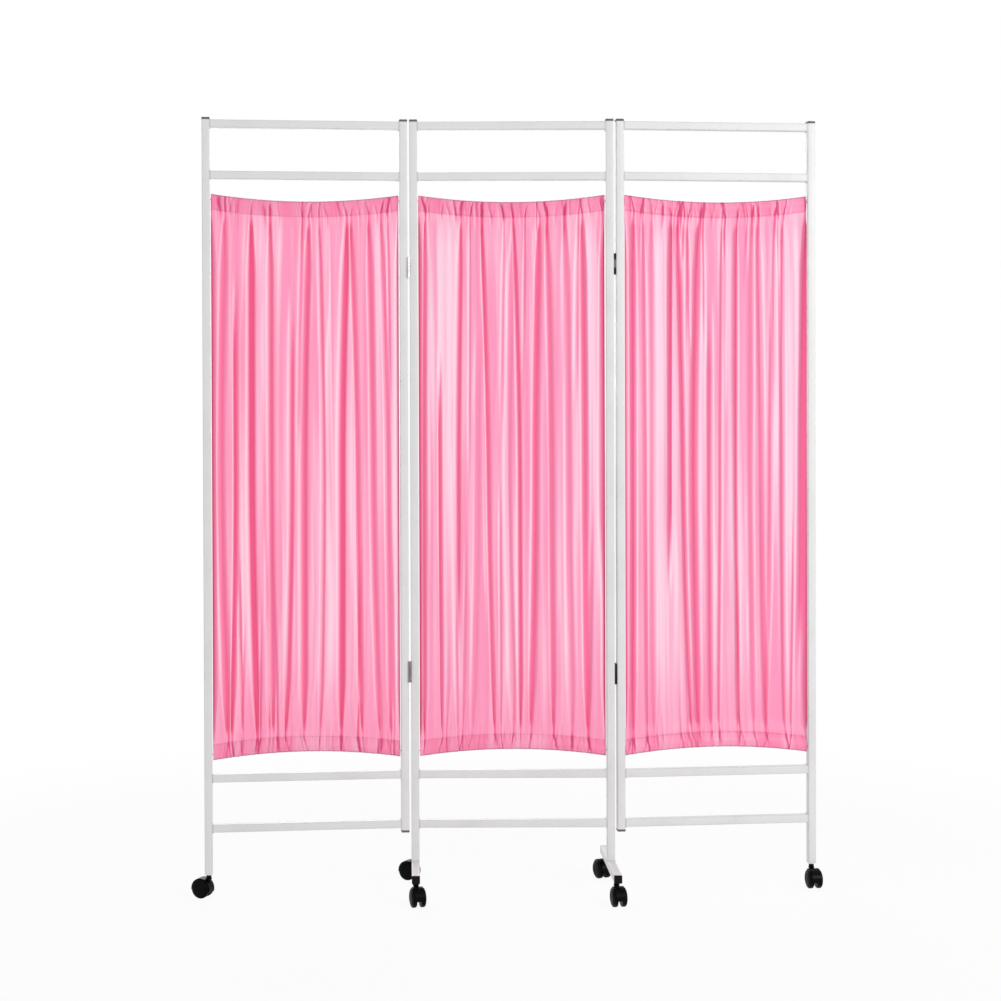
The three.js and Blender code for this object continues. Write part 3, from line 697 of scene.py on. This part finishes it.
def addHood(bm, place):
    # curved cover over both wheels, swept about the axle
    mid = (caster["hoodInner"] + caster["hoodOuter"]) / 2
    thick = (caster["hoodOuter"] - caster["hoodInner"]) / 2
    start = math.radians(caster["hoodStart"])
    section = []
    for side, level in caster["hoodSection"]:
        radius = mid + thick * level
        section.append(
            bm.verts.new((radius * math.cos(start), side * caster["hoodHalf"], radius * math.sin(start))))
    edges = [bm.edges.new((a, b)) for a, b in zip(section, section[1:] + section[:1])]
    bmesh.ops.spin(
        bm, geom=section + edges, cent=(0, 0, 0), axis=(0, -1, 0),
        angle=math.radians(caster["hoodEnd"]) - start, steps=caster["hoodSteps"])
    every = collectIsland(section)
    rims = [e for e in edgesOf(every) if e.is_boundary]
    bmesh.ops.holes_fill(bm, edges=rims, sides=0)
    bmesh.ops.recalc_face_normals(bm, faces=facesOf(every))
    bmesh.ops.transform(bm, matrix=place, verts=every)


def addWeb(bm, place):
    # middle wall between the wheels
    steps = caster["webSteps"]
    sweep = caster["hoodEnd"] - caster["hoodStart"]
    outline = [(caster["hoodStart"] + sweep * k / steps, caster["webRadius"]) for k in range(steps + 1)]
    outline += [(angle, caster["webLow"]) for angle in caster["webLowAngles"]]
    verts = []
    for angle, radius in outline:
        turn = math.radians(angle)
        verts.append(bm.verts.new((radius * math.cos(turn), -caster["webHalf"], radius * math.sin(turn))))
    plate = bm.faces.new(verts)
    grown = bmesh.ops.extrude_face_region(bm, geom=[plate])["geom"]
    far = [item for item in grown if isinstance(item, bmesh.types.BMVert)]
    bmesh.ops.translate(bm, vec=(0, 2 * caster["webHalf"], 0), verts=far)
    bmesh.ops.recalc_face_normals(bm, faces=facesOf(verts + far))
    bmesh.ops.transform(bm, matrix=place, verts=verts + far)


def makeCaster(name, key, bodyName, x, y, base):
    node = "caster_" + key
    spot = base @ Vector((x, y, 0))
    stand = moveBy(*spot) @ turnBy(caster["points"][key], "Z")
    axle = stand @ moveBy(caster["trail"], 0, caster["axleHeight"])
    bm = bmesh.new()
    addTurned(bm, caster["stem"], caster["stemSteps"], stand)
    finishPiece(name + "Stem", bm, [stemSteel], bodyName, [node + "_stem"])
    outward = {sign: turnBy(-90 * sign, "X") for sign in (-1, 1)}
    bm = bmesh.new()
    addHood(bm, axle)
    addWeb(bm, axle)
    addTurned(bm, caster["neck"], caster["stemSteps"], stand)
    for sign in (-1, 1):
        addTurned(bm, caster["boss"], caster["bossSteps"], axle @ outward[sign])
    finishPiece(
        name + "Housing", bm, [housingPlastic], node + "_swivel", [node + "_housing"])
    for letter, sign in (("a", 1), ("b", -1)):
        bm = bmesh.new()
        shift = moveBy(0, sign * (caster["webHalf"] + caster["runGap"]), 0)
        addTurned(bm, caster["wheel"], caster["wheelSteps"], axle @ shift @ outward[sign])
        wheel = node + "_wheel_" + letter
        finishPiece(
            name + "Wheel" + letter.upper(), bm, [wheelNylon], wheel + "_roll", [wheel])


footCaster = panel["footHalf"] - panel["casterFromEnd"]
for side, sign in sides:
    for end, way in footEnds:
        makeCaster(
            side + end.capitalize() + "Caster", side + "_" + end, "centre_panel",
            sign * postCentre, way * footCaster, centrePlace)
    makeCaster(side + "Caster", side, side + "_wing", -postCentre, 0, panelPlace[side])
print("casters made")

# In the curtains t runs from 0 at the upper seam to 1 at the lower one, side is 1 at the top and -1 at
# the bottom, and a pair of values is a range.
curtain = {
    "flat": (0.64, 1.42), "seed": {"centre": 21, "left": 34, "right": 55},
    "cutFrom": {"centre": 2.1, "left": 0.0, "right": 3.7},     # where each was cut from the roll
    "columns": 500, "samples": 900, "bodyRows": 112, "evenRows": 0.4, "casingRows": 9,
    "edgeStrip": (0.002, 0.009),
    "sideGap": 0.002, "top": 1.676, "bottom": 0.328, "sag": 0.017, "clothHalf": 0.0004,
    # casings
    "casing": 0.036, "wireFromEdge": 0.014, "wireSpread": 0.0075, "casingHalf": 0.0034,
    "edgeThin": (-0.0005, 0.004), "casingFade": 1.3, "ruffle": 0.0006, "ruffleScale": 130, "seamStay": 0.03,
    # valleys between the folds, from front to back
    "front": 0.0068, "back": 0.0076, "tuck": 0.005,
    "foldDepth": {"centre": 0.69, "left": 1.0, "right": 0.79},
    "valleys": {"centre": 12, "left": 11, "right": 14},
    "valleyHalf": (0.0034, 0.0088), "valleyDepth": (0.42, 1.0), "valleyLean": (0.25, 1.0),
    "valleySpread": 0.26, "valleyDrift": 0.04, "cutShort": 0.12,
    "shortTop": (0.06, 0.3), "shortLow": (0.7, 0.94),
    # small pleats that start at a casing
    "pleats": {"centre": 15, "left": 14, "right": 20}, "pleatHalf": (0.0026, 0.0056),
    "pleatDepth": (0.14, 0.46), "pleatLean": (0.1, 0.5), "pleatReach": (0.12, 0.6), "pleatAt": (0.04, 0.96),
    "pleatDrift": 0.03,
    # the turned-back sides
    "hemAt": (-0.003, 1.003), "hemHalf": (0.007, 0.011), "hemDepth": (0.5, 0.8),
    # the folds near the casings
    "atCasing": 0.26, "rise": 0.032, "pinch": 0.12, "narrow": 0.42, "fadeReach": 0.2, "bend": 1.6,
    "shallow": 0.14, "leastDepth": 0.004, "valleyReach": 1.7, "sideCalm": 0.02,
    # pinched gathers in the casings
    "slots": 38, "slotAt": (0.02, 0.98), "slotHalf": (0.0013, 0.0036), "slotShare": (0.3, 0.74),
    "slotFew": (0.2, 0.8), "slotSide": {1: 1.15, -1: 0.8}, "slotLean": (-0.28, 0.28), "slotSink": 0.003,
    "slotMost": 1.2, "slotUp": (-0.9, 0.0), "slotFade": 0.75, "slotDown": (0.012, 0.06), "slotDeep": 0.8,
    "overWire": 0.85,
    # long soft waves and creases in the cloth
    "swell": 0.003, "swellFlat": 0.25, "swellWide": (9, 1.6), "swellFine": (24, 2.2), "swellFineShare": 0.5,
    "creases": 20, "creaseAt": (0.02, 0.98), "creaseLean": (-0.03, 0.03), "creaseHalf": (0.006, 0.016),
    "creaseDepth": (0.0004, 0.0013), "creaseStart": (-0.4, 0.6), "creaseLength": (0.35, 1.2),
    "creaseEnds": 0.7, "bellReach": 2.2,     # bell curves are cut off at this many half widths
}
bodyLength = curtain["flat"][1] - 4 * curtain["casing"]
bodyTop = 2 * curtain["casing"]
bodyBottom = bodyTop + bodyLength
clothWidth = 2 * (postInner - curtain["sideGap"])
chance = random.Random()


def smooth(low, high, value):
    share = min(max((value - low) / (high - low), 0), 1)
    return share * share * (3 - 2 * share)


def edgeHeight(x, side):
    sag = curtain["sag"] * (1 - (x / postInner) ** 2)
    return (curtain["top"] if side > 0 else curtain["bottom"]) - side * sag


def draw(key):
    return chance.uniform(*curtain[key])


def drawFolds(name):
    # valleys between the pleats; "at" holds a valley's place across at the top, the middle and the bottom
    def drift(middle, reach):
        return (middle + chance.uniform(-reach, reach), middle, middle + chance.uniform(-reach, reach))

    folds = []
    count = curtain["valleys"][name]
    share = curtain["foldDepth"][name]
    spread = curtain["valleySpread"]
    for k in range(count):
        middle = (k + 0.5 + chance.uniform(-spread, spread)) / count
        ends = chance.random()
        folds.append({
            "at": drift(middle, curtain["valleyDrift"]),
            "half": draw("valleyHalf"), "depth": draw("valleyDepth") * share,
            "lean": chance.choice((-1, 1)) * draw("valleyLean") * curtain["tuck"],
            "from": draw("shortTop") if ends < curtain["cutShort"] else 0.0,
            "to": draw("shortLow") if ends > 1 - curtain["cutShort"] else 1.0,
        })
    for k in range(curtain["pleats"][name]):
        middle = draw("pleatAt")
        atTop = chance.random() < 0.5
        reach = draw("pleatReach")
        folds.append({
            "at": drift(middle, curtain["pleatDrift"]),
            "half": draw("pleatHalf"), "depth": draw("pleatDepth") * share,
            "lean": chance.choice((-1, 1)) * draw("pleatLean") * curtain["tuck"],
            "from": 0.0 if atTop else 1 - reach, "to": reach if atTop else 1.0,
        })
    for edge in curtain["hemAt"]:
        folds.append({
            "at": (edge, edge, edge), "half": draw("hemHalf"), "depth": draw("hemDepth"),
            "lean": 0.0, "from": 0.0, "to": 1.0,
        })
    return folds


def drawSlots(folds):
    # pinched gathers in a casing: one above each valley and some between
    slots = {}
    for side, end in ((1, 0), (-1, 2)):
        places = [
            (fold["at"][end], 1.0) for fold in folds
            if (fold["from"] == 0 if side > 0 else fold["to"] == 1)]
        places += [(draw("slotAt"), draw("slotFew")) for _ in range(curtain["slots"])]
        slots[side] = [{
            "at": at, "half": draw("slotHalf"),
            "depth": depth * draw("slotShare") * curtain["slotSide"][side],
            "lean": draw("slotLean"), "up": draw("slotUp"), "down": draw("slotDown"),
        } for at, depth in places]
    return slots


def drawCreases():
    return [{
        "at": draw("creaseAt"), "lean": draw("creaseLean"), "half": draw("creaseHalf"),
        "depth": chance.choice((-1, 1)) * draw("creaseDepth"),
        "start": draw("creaseStart"), "length": draw("creaseLength"),
    } for _ in range(curtain["creases"])]


def foldsAt(folds, t, full):
    # the valleys as they cross one row: place, half width, depth, lean; full leaves them deep at the casings
    bend, pinch, atCasing = curtain["bend"], curtain["pinch"], curtain["atCasing"]
    here = []
    for fold in folds:
        top, middle, bottom = fold["at"]
        place = middle + (top - middle) * max(1 - 2 * t, 0) ** bend
        place += (bottom - middle) * max(2 * t - 1, 0) ** bend
        grown = 1.0
        for away, meetsCasing in ((t - fold["from"], fold["from"] == 0), (fold["to"] - t, fold["to"] == 1)):
            if not meetsCasing:
                grown *= smooth(0, curtain["fadeReach"], away)
            elif not full:
                grown *= atCasing + (1 - atCasing) * smooth(0, curtain["rise"], away)
        wide = curtain["narrow"] + (1 - curtain["narrow"]) * smooth(0, pinch, t) * smooth(0, pinch, 1 - t)
        depth = fold["depth"] * grown
        if depth > curtain["leastDepth"]:
            here.append((place * clothWidth, fold["half"] * wide, depth, fold["lean"] * grown))
    return here


def profileAt(folds, creases, t, seed, full=False):
    # one row's cross-section: points across with their depth, from 0 on the pleats to 1 in the valleys
    here = foldsAt(folds, t, full)
    strength = 1.0 if full else smooth(0, curtain["rise"], t) * smooth(0, curtain["rise"], 1 - t)
    grown = curtain["shallow"] + (1 - curtain["shallow"]) * strength
    front = curtain["front"] * grown
    back = curtain["back"] * grown
    waving = curtain["swell"] * (curtain["swellFlat"] + (1 - curtain["swellFlat"]) * strength)
    wideScale, fineScale = curtain["swellWide"], curtain["swellFine"]
    row = []
    for i in range(curtain["samples"] + 1):
        share = i / curtain["samples"]
        flat = share * clothWidth
        level = 1.0
        pull = 0.0
        for place, half, depth, lean in here:
            offset = (flat - place) / half
            if abs(offset) < curtain["valleyReach"]:
                dip = depth * math.exp(-abs(offset) ** 3)
                level *= 1 - dip
                pull += lean * dip
        deep = 1 - level
        swell = noise.noise(Vector((share * wideScale[0] + seed, t * wideScale[1], seed)))
        swell += curtain["swellFineShare"] * noise.noise(
            Vector((share * fineScale[0], t * fineScale[1], seed + 9)))
        y = -front + (front + back) * deep + swell * level * waving
        for crease in creases:
            offset = (share - crease["at"] - crease["lean"] * t) / crease["half"]
            along = (t - crease["start"]) / crease["length"]
            if abs(offset) < curtain["bellReach"] and 0 < along < 1:
                ridge = math.exp(-offset * offset) * math.sin(math.pi * along) ** curtain["creaseEnds"]
                y += crease["depth"] * strength * ridge
        calm = smooth(0, curtain["sideCalm"], share) * smooth(0, curtain["sideCalm"], 1 - share)
        row.append((flat - clothWidth / 2 + pull * calm, y, deep))
    return row


def rowAt(folds, creases, t, seed):
    # a row's cross-section, its points spaced evenly along the cloth of the full folds
    row = profileAt(folds, creases, t, seed)
    deepest = profileAt(folds, creases, t, seed, True) if min(t, 1 - t) < curtain["rise"] else row
    lengths = [0.0]
    for before, after in zip(deepest, deepest[1:]):
        lengths.append(lengths[-1] + math.hypot(after[0] - before[0], after[1] - before[1]))
    count = curtain["columns"]
    spaced = []
    k = 0
    for i in range(count + 1):
        target = lengths[-1] * i / count
        while k < len(row) - 2 and lengths[k + 1] < target:
            k += 1
        part = (target - lengths[k]) / max(lengths[k + 1] - lengths[k], 1e-9)
        spaced.append([a + (b - a) * min(part, 1) for a, b in zip(row[k], row[k + 1])])
    return spaced, lengths[-1]


def slotDepth(slots, x, side, value, t):
    # value runs from 0 at the casing's outer edge to 1 at its seam, t from 0 at the seam on into the body
    total = 0.0
    for slot in slots[side]:
        away = 1 - value if value < 1 else t
        lean = slot["lean"] * away * curtain["casing"]
        offset = (x - (slot["at"] - 0.5) * clothWidth - lean) / slot["half"]
        if abs(offset) < curtain["bellReach"]:
            if value < 1:
                fade = smooth(slot["up"], slot["up"] + curtain["slotFade"], value)
            else:
                fade = 1 - smooth(0, slot["down"], t)
            total += slot["depth"] * math.exp(-offset * offset) * fade
    return min(total, curtain["slotMost"])


def curtainRows():
    # rows of (side, face, value, place along the cloth): up the back of the top casing, down the front and
    # under the bottom edge; side and face are 0 in the body, where value is t
    casing, count = curtain["casing"], curtain["casingRows"]
    even = curtain["evenRows"]
    rows = [(1, 1, 1 - k / count, casing * k / count) for k in range(count + 1)]
    rows += [(1, -1, k / count, casing * (1 + k / count)) for k in range(1, count + 1)]
    for k in range(1, curtain["bodyRows"]):
        # rows lie closer together near the casings
        share = k / curtain["bodyRows"]
        t = even * share + (1 - even) / 2 * (1 - math.cos(math.pi * share))
        rows.append((0, 0, t, bodyTop + bodyLength * t))
    rows += [(-1, -1, 1 - k / count, bodyBottom + casing * k / count) for k in range(count + 1)]
    rows += [(-1, 1, k / count, bodyBottom + casing * (1 + k / count)) for k in range(1, count + 1)]
    return rows


def casingLine(ends, slots, side, face, value, seed):
    casing = curtain["casing"]
    swell = math.exp(-((value * casing - curtain["wireFromEdge"]) / curtain["wireSpread"]) ** 2)
    thick = curtain["clothHalf"] + (curtain["casingHalf"] - curtain["clothHalf"]) * swell
    thick *= smooth(*curtain["edgeThin"], value * casing)
    line = []
    for x, y, deep in ends[side]:
        dip = slotDepth(slots, x, side, value, 0)
        wave = noise.noise(Vector((x * curtain["ruffleScale"], side * 3.0, seed + 4)))
        z = edgeHeight(x, side) - side * value * casing + curtain["ruffle"] * wave * (1 - value)
        pushed = y * value ** curtain["casingFade"] + face * thick
        pushed += curtain["slotSink"] * dip * (1 - curtain["overWire"] * swell)
        line.append((x, pushed, z, min(dip + deep * value, 1)))
    return line


def bodyLine(spaced, slots, t):
    line = []
    stay = 1 - smooth(0, curtain["seamStay"], min(t, 1 - t))
    for x, y, deep in spaced:
        dip = slotDepth(slots, x, 1, 1, t) + slotDepth(slots, x, -1, 1, 1 - t)
        highZ = edgeHeight(x, 1) - curtain["casing"]
        lowZ = edgeHeight(x, -1) + curtain["casing"]
        y += curtain["slotSink"] * dip - curtain["clothHalf"] * stay
        line.append((x, y, highZ + t * (lowZ - highZ), min(deep + dip * curtain["slotDeep"], 1)))
    return line


def curtainSheet(name):
    seed = curtain["seed"][name]
    chance.seed(seed)
    folds = drawFolds(name)
    slots = drawSlots(folds)
    creases = drawCreases()
    columns = curtain["columns"]
    ends = {1: rowAt(folds, creases, 0, seed)[0], -1: rowAt(folds, creases, 1, seed)[0]}
    rows = curtainRows()
    points = []
    widest = 0
    for side, face, value, _ in rows:
        if side:
            points.append(casingLine(ends, slots, side, face, value, seed))
        else:
            spaced, length = rowAt(folds, creases, value, seed)
            widest = max(widest, length)
            points.append(bodyLine(spaced, slots, value))
    print(name, "curtain: most cloth across", round(widest, 3))

    # a flat grid is moved onto the points
    bm = bmesh.new()
    flatMap = bm.loops.layers.uv.new("cloth")
    deepLayer = bm.verts.layers.float.new("foldDeep")
    turnLayer = bm.verts.layers.float.new("foldTurn")
    casingLayer = bm.verts.layers.float.new("casing")
    bmesh.ops.create_grid(bm, x_segments=columns, y_segments=len(rows) - 1, size=0.5)
    spots = {}
    for vert in bm.verts:
        spots[vert] = (round((vert.co.x + 0.5) * columns), round((0.5 - vert.co.y) * (len(rows) - 1)))
    for vert, (i, j) in spots.items():
        before, after = points[j][max(i - 1, 0)], points[j][min(i + 1, columns)]
        run = math.hypot(after[0] - before[0], after[1] - before[1])
        vert.co = points[j][i][:3]
        # foldDeep, the depth of valleys and gathers, and foldTurn, the slope across, drive the satin's
        # painted shade and painted highlight
        vert[deepLayer] = points[j][i][3]
        vert[turnLayer] = (after[1] - before[1]) / run
        # the side strips take the casings' colour: the doubled cloth of the side hems, and partly a painted
        # shade beside the posts
        edge = 1 - smooth(*curtain["edgeStrip"], min(i, columns - i) / columns)
        vert[casingLayer] = 1.0 if rows[j][0] else edge
    for face in bm.faces:
        for loop in face.loops:
            i, j = spots[loop.vert]
            loop[flatMap].uv = (curtain["cutFrom"][name] + curtain["flat"][0] * i / columns, rows[j][3])
    bmesh.ops.transform(bm, matrix=panelPlace[name], verts=bm.verts)
    sheet = finishPiece(
        name + "Curtain", bm, [curtainFinish], panelBody[name], [name + "_curtain"],
        sharpAngle=180)


curtainFinish = satinCloth(bodyTop, bodyBottom, curtain["flat"][1])
for name in panelBody:
    curtainSheet(name)
    for end in ("top", "bottom"):
        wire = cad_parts[name + "_wire_" + end]
        wire.data.materials.clear()
        wire.data.materials.append(wireSteel)

room = {
    "floor": 14.0, "floorPale": (0.86, 0.86, 0.86, 1), "floorDull": (0.82, 0.82, 0.82, 1),
    "floorGrain": 30.0, "floorGrainShare": 0.2,
    "floorWhite": 0.92, "fadeEdges": (1.2, 2.4),     # where the floor's own shade fades out
    "white": (1, 1, 1, 1), "ambient": 0.5, "aim": (0, 0, 1.0),
    "lamps": {
        "key": {"place": (3.1, -3.0, 2.3), "size": 1.8, "power": 88.0},
        "fill": {"place": (-2.6, -3.4, 1.1), "size": 2.4, "power": 22.0},
        "back": {"place": (-0.8, 3.4, 2.2), "size": 2.6, "power": 52.0},
    },
}

bm = bmesh.new()
bmesh.ops.create_grid(bm, x_segments=2, y_segments=2, size=room["floor"])
floorMesh = bpy.data.meshes.new("floor")
bm.to_mesh(floorMesh)
bm.free()
floor = bpy.data.objects.new("floor", floorMesh)
bpy.context.scene.collection.objects.link(floor)

floorFinish, nodes = newFinish("paleFloor")
place = nodes.place()
away = nodes.node("VectorMath", {"operation": "LENGTH"}, {0: place}, "Value")
speckle = nodes.grain(place, room["floorGrain"]) * room["floorGrainShare"]
matte = nodes.node("BsdfDiffuse", {}, {"Color": nodes.mix(speckle, room["floorPale"], room["floorDull"])})
white = nodes.node("Emission", {}, {"Color": room["white"], "Strength": 1.0})
share = room["floorWhite"] + (1.0 - room["floorWhite"]) * nodes.ramp(away, *room["fadeEdges"])
nodes.output(nodes.node("MixShader", {}, {0: nodes.seen() * share, 1: matte, 2: white}))
floorMesh.materials.append(floorFinish)

world = bpy.data.worlds.new("world")
world.use_nodes = True
bpy.context.scene.world = world
nodes = Nodes(world.node_tree)
soft = nodes.node("Background", {}, {"Color": room["white"], "Strength": room["ambient"]})
bright = nodes.node("Background", {}, {"Color": room["white"], "Strength": 1.0})
nodes.output(nodes.node("MixShader", {}, {0: nodes.seen(), 1: soft, 2: bright}), "OutputWorld")

for key, lampPlan in room["lamps"].items():
    lampData = bpy.data.lights.new(key, "AREA")
    lampData.shape = "SQUARE"
    lampData.size = lampPlan["size"]
    lampData.energy = lampPlan["power"]
    lamp = bpy.data.objects.new(key, lampData)
    lamp.location = lampPlan["place"]
    toMiddle = Vector(room["aim"]) - lamp.location
    lamp.rotation_euler = toMiddle.to_track_quat("-Z", "Y").to_euler()
    bpy.context.scene.collection.objects.link(lamp)

bpy.context.scene.view_settings.view_transform = "Standard"
print("light and floor made")
